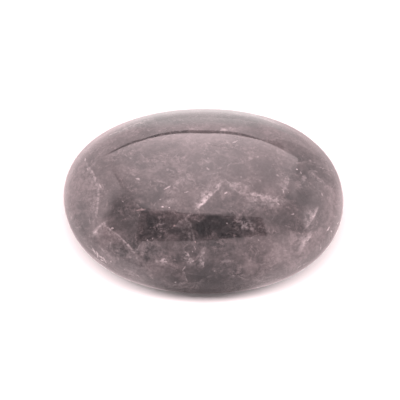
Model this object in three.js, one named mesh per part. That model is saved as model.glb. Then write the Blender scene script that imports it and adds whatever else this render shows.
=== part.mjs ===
// A palm stone: one pebble of cloudy mauve quartz, ground round and polished to fill a closed hand.
// Units are millimetres and +Z is up. The stone lies on one of its two broad faces, its long axis
// along X. The origin is under its middle, on the small flat where it touches the surface.

import * as THREE from 'three';
import { mergeVertices } from 'three/addons/utils/BufferGeometryUtils.js';

// Driving dimensions
const LENGTH = 65; // along X, tip to tip
const WIDTH = 45.2; // along Y, edge to edge
const THICKNESS = 26; // along Z, rest flat to crown
const REST_CUT = 0.2; // how deep the rest flat is ground into the round underside

// Roundness: 2 is an ellipse and a higher number is fuller at the shoulders
const PLAN_ROUNDNESS = 2;
const SECTION_ROUNDNESS = 2.15;

// Slow swellings that keep the outline off a true ellipse. Each has a number of crests around the
// edge, a height as a share of the radius there, and the bearing of its first crest from +X.
const SWELLINGS = [
  { crests: 2, height: 0.009, bearingDegrees: -24 },
  { crests: 3, height: 0.005, bearingDegrees: 38 },
  { crests: 4, height: 0.011, bearingDegrees: 49 },
];

// Mesh steps around the outline and from crown to rest flat
const STEPS_AROUND = 96;
const STEPS_DOWN = 32;

const STONE_COLOUR = 0x8e8085;
const STONE_ROUGHNESS = 0.12;

// The share by which the swellings push the edge out at a bearing, in radians
function swellingAt(bearing) {
  return SWELLINGS.reduce((sum, { crests, height, bearingDegrees }) => {
    const crest = THREE.MathUtils.degToRad(bearingDegrees);
    return sum + height * Math.cos(crests * (bearing - crest));
  }, 0);
}

// Moves a point of the unit sphere to the stone. The three half sizes stretch the sphere, the two
// roundness powers fill out its shoulders, and the swellings fade to nothing at crown and base.
function moveToStone(point) {
  const halfHeight = (THICKNESS + REST_CUT) / 2;
  const restLevel = halfHeight - REST_CUT;
  const plan = Math.abs(point.x) ** PLAN_ROUNDNESS + Math.abs(point.y) ** PLAN_ROUNDNESS;
  const section = plan ** (SECTION_ROUNDNESS / PLAN_ROUNDNESS) + Math.abs(point.z) ** SECTION_ROUNDNESS;
  const edgeShare = 1 - point.z ** 2;
  const swelling = 1 + edgeShare * swellingAt(Math.atan2(point.y, point.x));
  point.multiplyScalar(swelling * section ** (-1 / SECTION_ROUNDNESS));
  point.multiply(new THREE.Vector3(LENGTH / 2, WIDTH / 2, halfHeight));

  // What would reach below the rest flat is drawn in, towards the middle, onto it
  if (point.z < -restLevel) {
    point.multiplyScalar(-restLevel / point.z);
  }
  return point;
}

// Shifts the stone over the origin and trues it to its length and width
function fitToSize(geometry) {
  geometry.computeBoundingBox();
  const box = geometry.boundingBox;
  const size = box.getSize(new THREE.Vector3());
  const middle = box.getCenter(new THREE.Vector3());
  geometry.translate(-middle.x, -middle.y, -box.min.z);
  geometry.scale(LENGTH / size.x, WIDTH / size.y, THICKNESS / size.z);
}

// One closed skin: a sphere with its poles on Z, every shared vertex merged, moved to the stone
function makeStoneGeometry() {
  const sphere = new THREE.SphereGeometry(1, STEPS_AROUND, STEPS_DOWN);
  sphere.rotateX(Math.PI / 2);
  sphere.deleteAttribute('normal');
  sphere.deleteAttribute('uv');
  const geometry = mergeVertices(sphere);

  const positions = geometry.getAttribute('position');
  const point = new THREE.Vector3();
  for (let index = 0; index < positions.count; index += 1) {
    moveToStone(point.fromBufferAttribute(positions, index).normalize());
    positions.setXYZ(index, point.x, point.y, point.z);
  }

  fitToSize(geometry);
  geometry.computeVertexNormals();
  return geometry;
}

const polishedQuartz = new THREE.MeshStandardMaterial({
  color: STONE_COLOUR,
  roughness: STONE_ROUGHNESS,
  metalness: 0,
});

const stone = new THREE.Mesh(makeStoneGeometry(), polishedQuartz);
stone.name = 'palm_stone';

const palmStone = new THREE.Group();
palmStone.add(stone);

export default palmStone;
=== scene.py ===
"""A palm stone of cloudy mauve quartz in a plain white studio.

Mist and healed cracks lie under its polished skin. The stone rests on its broad face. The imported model
gives its size and place. Lengths are in metres unless a name or a docstring says millimetres.
"""

import logging
import math
from dataclasses import dataclass
from enum import Enum
from typing import Sequence, Union

import bpy
import numpy as np
from mathutils import Matrix, Vector


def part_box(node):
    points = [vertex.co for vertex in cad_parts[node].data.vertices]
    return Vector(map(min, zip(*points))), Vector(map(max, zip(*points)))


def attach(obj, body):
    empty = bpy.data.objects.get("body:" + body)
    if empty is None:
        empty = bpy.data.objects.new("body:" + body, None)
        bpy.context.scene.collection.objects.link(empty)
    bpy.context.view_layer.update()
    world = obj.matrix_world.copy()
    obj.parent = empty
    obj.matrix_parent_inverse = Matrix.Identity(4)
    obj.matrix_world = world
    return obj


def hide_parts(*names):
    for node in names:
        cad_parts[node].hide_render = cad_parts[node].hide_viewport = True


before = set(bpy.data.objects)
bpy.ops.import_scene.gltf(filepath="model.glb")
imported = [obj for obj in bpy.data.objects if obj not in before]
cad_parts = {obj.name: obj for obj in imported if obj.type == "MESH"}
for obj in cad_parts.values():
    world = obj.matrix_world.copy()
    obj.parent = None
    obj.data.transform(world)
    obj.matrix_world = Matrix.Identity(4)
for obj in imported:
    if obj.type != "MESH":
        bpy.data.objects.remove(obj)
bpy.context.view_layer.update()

LOG = logging.getLogger("palm_stone")
NODE = "palm_stone"
BODY = "root"
MM = 0.001

Socket = bpy.types.NodeSocket
Feed = Union[Socket, float, Sequence[float]]
Triple = tuple[float, float, float]
Colour = Triple
Spot = tuple[float, float]


class Face(Enum):
    """Which broad face of the stone a detail lies on."""

    CROWN = 1.0
    UNDERSIDE = -1.0


class Tone(Enum):
    """Which of the finish's colours a detail takes."""

    CLEAR = "deep"
    MILKY = "milky"
    PALE = "pale"
    WHITE = "white"
    ROSY = "rosy"
    DARK = "dark"


# ---- The stone's form --------------------------------------------------------------------------------


@dataclass(frozen=True)
class Swelling:
    """A slow swelling of the outline.

    Attributes:
        crests: how many crests it has around the edge.
        height: its height as a share of the radius there.
        bearing: the bearing of its first crest from +X, in degrees.
    """

    crests: int
    height: float
    bearing: float


@dataclass(frozen=True)
class Hollow:
    """A small worn hollow in the polished skin.

    Attributes:
        spot: X and Y of its middle, in millimetres.
        width: the radius at which it has faded to a third, in millimetres.
        depth: how deep it is, in millimetres.
        face: the broad face that it is in.
    """

    spot: Spot
    width: float
    depth: float
    face: Face = Face.CROWN


@dataclass(frozen=True)
class Wear:
    """Small hollows strewn evenly over an oval on both faces.

    Attributes:
        count: how many there are.
        seed: the start of the random draws.
        oval: half the oval's length and width, in millimetres.
        filled: the share of the oval's area, from its middle out, that has hollows.
        widths: the least and greatest width, in millimetres.
        depths: the least and greatest depth, as a share of the hollow's width.
    """

    count: int = 40
    seed: int = 11
    oval: Spot = (30.0, 20.0)
    filled: float = 0.8
    widths: Spot = (0.7, 1.5)
    depths: Spot = (0.008, 0.022)

    def hollows(self) -> tuple[Hollow, ...]:
        """Draws the hollows at random.

        Returns:
            The hollows, every other one on the underside.
        """
        draw = np.random.default_rng(self.seed)
        bearings = draw.uniform(0.0, 2 * math.pi, self.count)
        reaches = np.sqrt(draw.uniform(0.0, self.filled, self.count))
        widths = draw.uniform(*self.widths, self.count)
        depths = widths * draw.uniform(*self.depths, self.count)
        x = self.oval[0] * reaches * np.cos(bearings)
        y = self.oval[1] * reaches * np.sin(bearings)
        faces = (Face.CROWN, Face.UNDERSIDE)
        return tuple(
            Hollow(spot=(x[i], y[i]), width=widths[i], depth=depths[i], face=faces[i % 2])
            for i in range(self.count)
        )


@dataclass
class StoneForm:
    """The stone's round form, trued to a box.

    Attributes:
        low: the box's lowest corner.
        high: the box's highest corner.
        rest_cut: how deep the rest flat is ground into the underside.
        section_roundness: 2 is an ellipse from face to face, and more is fuller.
        swellings: what keeps the outline off a true ellipse.
        ripple: how far the polish rises and falls in long, slow waves.
        steps_around: points around the stone.
        steps_down: steps from the crown to the base.
    """

    low: Vector
    high: Vector
    rest_cut: float = 0.2 * MM
    section_roundness: float = 2.15
    swellings: tuple[Swelling, ...] = (
        Swelling(crests=2, height=0.009, bearing=-24.0),
        Swelling(crests=3, height=0.005, bearing=38.0),
        Swelling(crests=4, height=0.011, bearing=49.0),
    )
    ripple: float = 0.012 * MM
    steps_around: int = 420
    steps_down: int = 224

    @property
    def size(self) -> np.ndarray:
        """The box's three sides."""
        return np.array(self.high) - np.array(self.low)

    @property
    def middle(self) -> Vector:
        """The box's centre."""
        return (self.low + self.high) / 2

    def skin(self, bearing: np.ndarray, fall: np.ndarray) -> np.ndarray:
        """Points of the stone's skin, about its centre, before it is trued to the box.

        A unit direction u has the bearing around Z and the fall from the crown. Its point is u
        stretched by the half sizes and divided by (plan ** (m / 2) + |uz| ** m) ** (1 / m), where plan
        is ux ** 2 + uy ** 2 and m is the section's roundness. The swellings then scale it, and so do
        two crossing trains of ripples, about 15 and 11 mm from crest to crest. A point below the rest
        flat is drawn in towards the centre until it lies on the flat.

        Args:
            bearing: angles from +X, in radians.
            fall: angles down from the crown, in radians, of the same shape.

        Returns:
            An array of points with one more axis than bearing.
        """
        level = np.cos(fall)
        out = np.sin(fall)
        unit = np.stack([np.cos(bearing) * out, np.sin(bearing) * out, level], axis=-1)
        plan = unit[..., 0] ** 2 + unit[..., 1] ** 2
        power = self.section_roundness
        shoulder = (plan ** (power / 2) + np.abs(level) ** power) ** (-1 / power)
        swell = sum(
            wave.height * np.cos(wave.crests * (bearing - math.radians(wave.bearing)))
            for wave in self.swellings
        )
        half_height = (self.size[2] + self.rest_cut) / 2
        half = np.array([self.size[0] / 2, self.size[1] / 2, half_height])
        points = unit * half * (shoulder * (1 + (1 - level**2) * swell))[..., None]
        x, y = points[..., 0], points[..., 1]
        waves = np.sin(410 * x + 1.3 * np.sin(240 * y)) + np.sin(530 * y - 170 * x + 2.1)
        points = points * (1 + self.ripple / half_height * waves / 2)[..., None]
        rest_level = half_height - self.rest_cut
        drop = -points[..., 2]
        drawn_in = np.where(drop > rest_level, rest_level / np.maximum(drop, rest_level), 1.0)
        return points * drawn_in[..., None]

    def grid(self) -> np.ndarray:
        """The skin as rows of points from the crown to the base, trued to the box.

        Returns:
            An array of rows, columns and coordinates, whose first and last rows are the poles.
        """
        around = np.linspace(0, 2 * math.pi, self.steps_around, endpoint=False)
        down = np.linspace(0, math.pi, self.steps_down + 1)
        fall, bearing = np.meshgrid(down, around, indexing="ij")
        points = self.skin(bearing, fall)
        low, high = points.min(axis=(0, 1)), points.max(axis=(0, 1))
        return (points - low) / (high - low) * self.size + np.array(self.low)

    def normals(self, grid: np.ndarray) -> np.ndarray:
        """Outward unit normals: the cross product of a grid's differences down and around.

        Args:
            grid: the skin's points.

        Returns:
            One normal for each point.
        """
        down = np.gradient(grid, axis=0)
        around = np.roll(grid, -1, axis=1) - np.roll(grid, 1, axis=1)
        cross = np.cross(down, around)
        length = np.linalg.norm(cross, axis=-1, keepdims=True)
        outward = grid - np.array(self.middle)
        away = outward / np.linalg.norm(outward, axis=-1, keepdims=True)
        normal = np.where(length > 1e-12, cross / np.maximum(length, 1e-12), away)
        return normal * np.sign((normal * away).sum(axis=-1, keepdims=True))


@dataclass
class SurfaceMap:
    """Finds the place and normal of the skin over or under a spot in plan.

    Attributes:
        points: the skin's points, in metres.
        normals: their outward unit normals.
        middle: the stone's centre.
    """

    points: np.ndarray
    normals: np.ndarray
    middle: Vector

    def find(self, spot: Spot, face: Face) -> tuple[Vector, Vector]:
        """The skin's point and outward normal at a spot.

        Args:
            spot: X and Y in millimetres.
            face: the broad face to look on.

        Returns:
            The point in metres, and the unit normal.
        """
        on_face = (self.points[..., 2] - self.middle.z) * face.value >= 0
        apart = (self.points[..., 0] - spot[0] * MM) ** 2 + (self.points[..., 1] - spot[1] * MM) ** 2
        row, column = np.unravel_index(np.argmin(np.where(on_face, apart, np.inf)), apart.shape)
        return Vector(self.points[row, column]), Vector(self.normals[row, column])


# ---- Wiring materials --------------------------------------------------------------------------------


@dataclass(frozen=True)
class Mottle:
    """Noise that is cut to soft patches.

    Attributes:
        scale: its lumps in each millimetre.
        detail: how many finer layers it has.
        roughness: how strong the finer layers are.
        start: the noise where a patch starts.
        full: the noise where a patch is full.
    """

    scale: float
    detail: float
    roughness: float
    start: float
    full: float


class Graph:
    """A node tree being wired, with a short method for each kind of node that the finishes use."""

    def __init__(self, tree: bpy.types.NodeTree) -> None:
        """Starts with a tree and whatever nodes it already has."""
        self.tree = tree

    def node(self, kind: str, **settings: object) -> bpy.types.Node:
        """Adds a node and sets its properties.

        Args:
            kind: the node's type name.
            settings: property names and their values.

        Returns:
            The new node.
        """
        made = self.tree.nodes.new(kind)
        for name, value in settings.items():
            setattr(made, name, value)
        return made

    def feed(self, socket: Socket, value: Feed) -> None:
        """Links an output to a socket, or sets the socket's own value.

        Args:
            socket: the input to fill.
            value: an output socket, a number, or a vector or colour.
        """
        if isinstance(value, bpy.types.NodeSocket):
            self.tree.links.new(value, socket)
        else:
            socket.default_value = value

    def fed(self, kind: str, values: Sequence[Feed], **settings: object) -> bpy.types.Node:
        """Adds a node and fills its inputs in order.

        Args:
            kind: the node's type name.
            values: what goes into its inputs, from the first.
            settings: property names and their values.

        Returns:
            The new node.
        """
        made = self.node(kind, **settings)
        for socket, value in zip(made.inputs, values):
            self.feed(socket, value)
        return made

    def math(self, operation: str, *values: Feed) -> Socket:
        """A Math node, such as ADD or POWER."""
        return self.fed("ShaderNodeMath", values, operation=operation).outputs[0]

    def product(self, *values: Feed) -> Socket:
        """Numbers multiplied together.

        Args:
            values: two or more numbers.

        Returns:
            Their product.
        """
        result = values[0]
        for value in values[1:]:
            result = self.math("MULTIPLY", result, value)
        return result

    def vector(self, operation: str, *values: Feed) -> Socket:
        """A Vector Math node whose result is a vector."""
        return self.fed("ShaderNodeVectorMath", values, operation=operation).outputs["Vector"]

    def measure(self, operation: str, *values: Feed) -> Socket:
        """A Vector Math node whose result is a number: DOT_PRODUCT, LENGTH or DISTANCE."""
        return self.fed("ShaderNodeVectorMath", values, operation=operation).outputs["Value"]

    def scaled(self, vector: Feed, factor: Feed) -> Socket:
        """A vector times a number.

        Args:
            vector: the vector or colour.
            factor: the number.

        Returns:
            The scaled vector.
        """
        made = self.node("ShaderNodeVectorMath", operation="SCALE")
        self.feed(made.inputs[0], vector)
        self.feed(made.inputs["Scale"], factor)
        return made.outputs["Vector"]

    def noise(
        self, place: Feed, scale: float, detail: float = 2.0, roughness: float = 0.5
    ) -> bpy.types.Node:
        """A noise texture.

        Args:
            place: where to read it.
            scale: its lumps in each millimetre.
            detail: how many finer layers it has.
            roughness: how strong the finer layers are.

        Returns:
            The node, whose Fac output is a number and whose Color output serves as a vector.
        """
        made = self.node("ShaderNodeTexNoise", noise_dimensions="3D")
        self.feed(made.inputs["Vector"], place)
        made.inputs["Scale"].default_value = scale
        made.inputs["Detail"].default_value = detail
        made.inputs["Roughness"].default_value = roughness
        return made

    def swirl(self, place: Feed, scale: float, detail: float, reach: Feed) -> Socket:
        """A place pushed about by noise.

        Args:
            place: where to start.
            scale: the noise's lumps in each millimetre.
            detail: how many finer layers it has.
            reach: the push, in millimetres, where the noise is one.

        Returns:
            The moved place.
        """
        push = self.vector("SUBTRACT", self.noise(place, scale, detail).outputs["Color"], (0.5, 0.5, 0.5))
        return self.vector("ADD", place, self.scaled(push, reach))

    def step(self, value: Feed, start: Feed, end: Feed, low: Feed = 0.0, high: Feed = 1.0) -> Socket:
        """A smooth step.

        Args:
            value: what is read.
            start: where the step starts.
            end: where the step ends.
            low: the result at the start.
            high: the result at the end.

        Returns:
            The stepped number.
        """
        made = self.node("ShaderNodeMapRange", interpolation_type="SMOOTHSTEP", clamp=False)
        names = ("Value", "From Min", "From Max", "To Min", "To Max")
        for name, given in zip(names, (value, start, end, low, high)):
            self.feed(made.inputs[name], given)
        return made.outputs["Result"]

    def patches(self, place: Feed, mottle: Mottle, low: float = 0.0, high: float = 1.0) -> Socket:
        """Noise cut to patches.

        Args:
            place: where to read it.
            mottle: the noise and how it is cut.
            low: the result off the patches.
            high: the result on them.

        Returns:
            The cut noise.
        """
        read = self.noise(place, mottle.scale, mottle.detail, mottle.roughness).outputs["Fac"]
        return self.step(read, mottle.start, mottle.full, low, high)

    def fade(self, value: Feed, depth: Feed) -> Socket:
        """A fall to a third for each depth: e ** (-value / depth)."""
        return self.math("POWER", math.e, self.math("MULTIPLY", self.math("DIVIDE", value, depth), -1.0))

    def cover(self, below: Feed, share: Feed) -> Socket:
        """Two shares laid over each other: 1 - (1 - below) * (1 - share)."""
        return self.math("MULTIPLY_ADD", share, self.math("SUBTRACT", 1.0, below), below)

    def blend(self, share: Feed, first: Feed, second: Feed) -> Socket:
        """Two colours mixed.

        Args:
            share: 0 gives the first and 1 the second.
            first: a colour.
            second: a colour.

        Returns:
            The mixed colour.
        """
        made = self.node("ShaderNodeMix", data_type="RGBA", clamp_factor=True)
        self.feed(made.inputs[0], share)
        self.feed(made.inputs[6], first)
        self.feed(made.inputs[7], second)
        return made.outputs[2]

    def place_in_mm(self) -> tuple[Socket, Socket]:
        """Where a point of the surface is.

        Returns:
            Object coordinates in millimetres, and the surface's own normal.
        """
        where = self.node("ShaderNodeTexCoord")
        mapped = self.node("ShaderNodeMapping")
        mapped.inputs["Scale"].default_value = (1 / MM, 1 / MM, 1 / MM)
        self.feed(mapped.inputs["Vector"], where.outputs["Object"])
        return mapped.outputs["Vector"], where.outputs["Normal"]

    def use(self, group: bpy.types.NodeTree, **values: Feed) -> bpy.types.Node:
        """Places a node group.

        Args:
            group: the group.
            values: what goes into its inputs; an underscore in a name stands for a space in the socket's.

        Returns:
            The group's node.
        """
        made = self.node("ShaderNodeGroup", node_tree=group)
        for name, value in values.items():
            self.feed(made.inputs[name.replace("_", " ")], value)
        return made


NUMBER = "NodeSocketFloat"
VECTOR = "NodeSocketVector"


class Effect:
    """A shader node group, wired by its subclass.

    Attributes:
        name: the group's name.
        inputs: the name and the kind of each input.
        outputs: the name and the kind of each output.
    """

    name: str = "effect"
    inputs: tuple[tuple[str, str], ...] = ()
    outputs: tuple[tuple[str, str], ...] = ()

    def build(self) -> bpy.types.NodeTree:
        """Makes the group.

        Returns:
            The group's node tree.
        """
        tree = bpy.data.node_groups.new(self.name, "ShaderNodeTree")
        for name, kind in self.inputs:
            tree.interface.new_socket(name=name, in_out="INPUT", socket_type=kind)
        for name, kind in self.outputs:
            tree.interface.new_socket(name=name, in_out="OUTPUT", socket_type=kind)
        graph = Graph(tree)
        given = graph.node("NodeGroupInput")
        result = graph.node("NodeGroupOutput")
        for name, socket in self.wire(graph, given.outputs).items():
            graph.feed(result.inputs[name], socket)
        return tree

    def wire(self, graph: Graph, put: bpy.types.NodeOutputs) -> dict[str, Socket]:
        """Wires the group's inside; each subclass has its own."""
        raise NotImplementedError


class SheetEffect(Effect):
    """A healed crack: a thin, gently curved sheet of pale mist inside the stone.

    The sheet is part of a large sphere. Where it meets the skin it shows as a bright, beaded line, which
    falls off beside it as e ** (-(distance / width) ** 2). Where it runs on under the skin it shows as a
    veil that fades with its depth, which is its distance divided by the cosine between the sheet's normal
    and the skin's.

    Attributes:
        inner: the share of the reach within which both are whole.
        beads: the texture where a bead of the line starts and is full.
        thread: how much of the line is left between its beads.
        mist: the texture where the veil starts and is full.
        thin: how much of the veil is left off its mist.
        brim: how deep the veil starts and is full, in millimetres, where less than 0 is over the skin.
    """

    name = "healed_sheet"
    inputs = (
        ("Place", VECTOR),
        ("Facing", VECTOR),
        ("Wobble", NUMBER),
        ("Texture", NUMBER),
        ("Centre", VECTOR),
        ("Radius", NUMBER),
        ("Middle", VECTOR),
        ("Reach", NUMBER),
        ("Line Width", NUMBER),
        ("Wander", NUMBER),
        ("Veil Depth", NUMBER),
    )
    outputs = (("Line", NUMBER), ("Veil", NUMBER))
    inner: float = 0.4
    beads: Spot = (0.38, 0.62)
    thread: float = 0.3
    mist: Spot = (0.42, 0.6)
    thin: float = 0.06
    brim: Spot = (-0.2, 0.05)

    def wire(self, graph: Graph, put: bpy.types.NodeOutputs) -> dict[str, Socket]:
        """Wires the line and the veil.

        Args:
            graph: the group's graph.
            put: the group's inputs.

        Returns:
            How strong the line and the veil are.
        """
        away = graph.vector("SUBTRACT", put["Place"], put["Centre"])
        distance = graph.math("SUBTRACT", graph.measure("LENGTH", away), put["Radius"])
        gap = graph.math("MULTIPLY_ADD", put["Wobble"], put["Wander"], distance)
        tilt = graph.measure("DOT_PRODUCT", put["Facing"], graph.vector("NORMALIZE", away))
        depth = graph.math("DIVIDE", gap, tilt)

        on_sheet = graph.vector("SUBTRACT", put["Place"], graph.scaled(put["Facing"], depth))
        ragged = graph.product(graph.math("SUBTRACT", put["Texture"], 0.5), put["Reach"])
        inner = graph.math("MULTIPLY", put["Reach"], self.inner)
        spread = graph.math("ADD", graph.measure("DISTANCE", on_sheet, put["Middle"]), ragged)
        inside = graph.step(spread, inner, put["Reach"], 1.0, 0.0)
        from_middle = graph.math("ADD", graph.measure("DISTANCE", put["Place"], put["Middle"]), ragged)
        near = graph.step(from_middle, inner, put["Reach"], 1.0, 0.0)

        share = graph.math("DIVIDE", gap, put["Line Width"])
        crest = graph.fade(graph.math("MULTIPLY", share, share), 1.0)
        beads = graph.step(put["Texture"], *self.beads, self.thread, 1.0)
        line = graph.product(crest, near, beads)

        sunk = graph.fade(graph.math("MAXIMUM", depth, 0.0), put["Veil Depth"])
        below = graph.step(depth, *self.brim)
        mist = graph.step(put["Texture"], *self.mist, self.thin, 1.0)
        return {"Line": line, "Veil": graph.product(sunk, below, mist, inside)}


class CloudEffect(Effect):
    """Milky clouds of several sizes, folded by a slow warp.

    Attributes:
        broad: the widest clouds.
        middling: clouds a few millimetres wide.
        feathers: small clouds, drawn out one way.
        feather_turn: how the feathers' way is turned, in radians.
        feather_stretch: how close the feathers lie along each of their own axes.
        grain: the finest mottling.
        crumbly_parts: where the stone has crumbs.
        edged_parts: where the stone has fronts and rifts.
        front_edge: the folded noise over which a front starts.
        front_end: the folded noise at which it has faded away.
        rift_middle: the folded noise in the middle of a rift.
        rift_half: how far from that the rift ends.
    """

    name = "milky_clouds"
    inputs = (("Place", VECTOR), ("Offset", VECTOR))
    outputs = (
        ("Broad", NUMBER),
        ("Patches", NUMBER),
        ("Feathers", NUMBER),
        ("Grain", NUMBER),
        ("Crumbs", NUMBER),
        ("Fronts", NUMBER),
        ("Rifts", NUMBER),
    )
    broad: Mottle = Mottle(scale=0.07, detail=2.0, roughness=0.5, start=0.36, full=0.66)
    middling: Mottle = Mottle(scale=0.24, detail=5.0, roughness=0.6, start=0.42, full=0.68)
    feathers: Mottle = Mottle(scale=0.7, detail=4.0, roughness=0.6, start=0.44, full=0.7)
    feather_turn: Triple = (0.3, 0.2, math.radians(-32))
    feather_stretch: Triple = (0.5, 1.0, 0.8)
    grain: Mottle = Mottle(scale=1.5, detail=3.0, roughness=0.65, start=0.3, full=0.72)
    crumbly_parts: Mottle = Mottle(scale=0.3, detail=3.0, roughness=0.6, start=0.46, full=0.6)
    edged_parts: Mottle = Mottle(scale=0.3, detail=2.0, roughness=0.5, start=0.46, full=0.56)
    front_edge: Spot = (0.497, 0.508)
    front_end: float = 0.58
    rift_middle: float = 0.49
    rift_half: float = 0.011

    def wire(self, graph: Graph, put: bpy.types.NodeOutputs) -> dict[str, Socket]:
        """Wires the sizes of cloud.

        A front starts sharply at its edge and fades away up to its end. A rift is the thin dark line just
        outside it. Crumbs, fronts and rifts lie in some parts of the stone and not in others.

        Args:
            graph: the group's graph.
            put: the group's inputs.

        Returns:
            How strong each kind of cloud is, from 0 to 1.
        """
        start = graph.vector("ADD", put["Place"], put["Offset"])
        warped = graph.swirl(start, scale=0.11, detail=2.0, reach=8.0)
        broad = graph.patches(warped, self.broad)
        middling = graph.patches(warped, self.middling)
        drawn = graph.node("ShaderNodeMapping")
        drawn.inputs["Rotation"].default_value = self.feather_turn
        drawn.inputs["Scale"].default_value = self.feather_stretch
        graph.feed(drawn.inputs["Vector"], graph.swirl(start, scale=0.3, detail=2.0, reach=3.0))
        feathers = graph.patches(drawn.outputs["Vector"], self.feathers)
        grain = graph.patches(start, self.grain)
        thick = graph.patches(start, self.crumbly_parts)
        crumb = graph.noise(warped, scale=1.2, detail=4.0, roughness=0.7).outputs["Fac"]
        crumbs = graph.product(graph.step(crumb, 0.5, 0.6), thick)
        crumbly = graph.step(crumb, 0.42, 0.6, 0.25, 1.0)
        folding = graph.swirl(start, scale=0.8, detail=3.0, reach=1.4)
        folded = graph.noise(folding, scale=0.4, detail=3.0, roughness=0.6).outputs["Fac"]
        here = graph.patches(start, self.edged_parts)
        rise = graph.step(folded, *self.front_edge)
        front = graph.product(rise, graph.step(folded, self.front_edge[1], self.front_end, 1.0, 0.0))
        aside = graph.math("ABSOLUTE", graph.math("SUBTRACT", folded, self.rift_middle))
        rift = graph.step(aside, 0.0, self.rift_half, 1.0, 0.0)
        return {
            "Broad": broad,
            "Patches": middling,
            "Feathers": feathers,
            "Grain": grain,
            "Crumbs": crumbs,
            "Fronts": graph.product(front, here, crumbly),
            "Rifts": graph.product(rift, here),
        }


class FlakeEffect(Effect):
    """Small sheets of mist scattered through the stone, one in each cell of a Voronoi pattern.

    Each cell's random colour turns its sheet and sets how pale it is. As on a healed crack, the veil
    fades with its depth below the skin, so that each flake has one crisp side and one soft one.

    Attributes:
        mist: where the flakes are whole.
        brim: how deep the veil starts and is full, in millimetres, where less than 0 is over the skin.
        border: how far from its cell's border a flake starts and is full, in cells.
        crest: half the width of a flake's bright edge, in millimetres.
        thin: how much of a flake is left off its mist.
    """

    name = "scattered_flakes"
    inputs = (
        ("Place", VECTOR),
        ("Facing", VECTOR),
        ("Cells", NUMBER),
        ("Veil Depth", NUMBER),
        ("Ruffle", NUMBER),
        ("Bare", NUMBER),
        ("Offset", VECTOR),
    )
    outputs = (("Veil", NUMBER), ("Edge", NUMBER))
    mist: Mottle = Mottle(scale=1.0, detail=4.0, roughness=0.6, start=0.38, full=0.64)
    brim: Spot = (-0.12, 0.06)
    border: Spot = (0.02, 0.2)
    crest: float = 0.14
    thin: float = 0.2

    def wire(self, graph: Graph, put: bpy.types.NodeOutputs) -> dict[str, Socket]:
        """Wires the flakes.

        Args:
            graph: the group's graph.
            put: the group's inputs; Bare is the share of the cells with no flake.

        Returns:
            How strong the flakes' veils and their edges are.
        """
        start = graph.vector("ADD", put["Place"], put["Offset"])
        place = graph.swirl(start, scale=0.5, detail=3.0, reach=put["Ruffle"])
        nearest = graph.node("ShaderNodeTexVoronoi", feature="F1")
        border = graph.node("ShaderNodeTexVoronoi", feature="DISTANCE_TO_EDGE")
        for cells in (nearest, border):
            graph.feed(cells.inputs["Vector"], place)
            graph.feed(cells.inputs["Scale"], put["Cells"])
        draw = graph.fed("ShaderNodeSeparateColor", [nearest.outputs["Color"]])
        centred = graph.vector("SUBTRACT", nearest.outputs["Color"], (0.5, 0.5, 0.5))
        turned = graph.vector("NORMALIZE", centred)
        from_middle = graph.vector("SUBTRACT", place, nearest.outputs["Position"])
        gap = graph.measure("DOT_PRODUCT", from_middle, turned)
        depth = graph.math("DIVIDE", gap, graph.measure("DOT_PRODUCT", put["Facing"], turned))
        sunk = graph.fade(graph.math("MAXIMUM", depth, 0.0), put["Veil Depth"])
        below = graph.step(depth, *self.brim)
        inside = graph.step(border.outputs["Distance"], *self.border)
        mist = graph.patches(place, self.mist, self.thin, 1.0)
        pale = graph.product(graph.step(draw.outputs[1], put["Bare"], 1.0), inside, mist)
        crest = graph.step(graph.math("ABSOLUTE", gap), 0.0, self.crest, 1.0, 0.0)
        return {"Veil": graph.product(sunk, below, pale), "Edge": graph.product(crest, pale)}


class SpeckEffect(Effect):
    """Small specks scattered at random, one in each cell of a Voronoi pattern, with most cells bare."""

    name = "scattered_specks"
    inputs = (("Place", VECTOR), ("Cells", NUMBER), ("Size", NUMBER), ("Share", NUMBER))
    outputs = (("Mask", NUMBER),)

    def wire(self, graph: Graph, put: bpy.types.NodeOutputs) -> dict[str, Socket]:
        """Wires the specks.

        Args:
            graph: the group's graph.
            put: the group's inputs; Size is the radius and Share is the share of the cells with a speck.

        Returns:
            Where the specks are.
        """
        cells = graph.node("ShaderNodeTexVoronoi", feature="F1")
        graph.feed(cells.inputs["Vector"], graph.swirl(put["Place"], scale=3.0, detail=3.0, reach=0.25))
        graph.feed(cells.inputs["Scale"], put["Cells"])
        draw = graph.fed("ShaderNodeSeparateColor", [cells.outputs["Color"]])
        chosen = graph.math("LESS_THAN", draw.outputs[0], put["Share"])
        reach = graph.product(put["Size"], graph.step(draw.outputs[1], 0.0, 1.0, 0.4, 1.0), put["Cells"])
        spot = graph.step(cells.outputs["Distance"], graph.math("MULTIPLY", reach, 0.3), reach, 1.0, 0.0)
        return {"Mask": graph.math("MULTIPLY", spot, chosen)}


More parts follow.
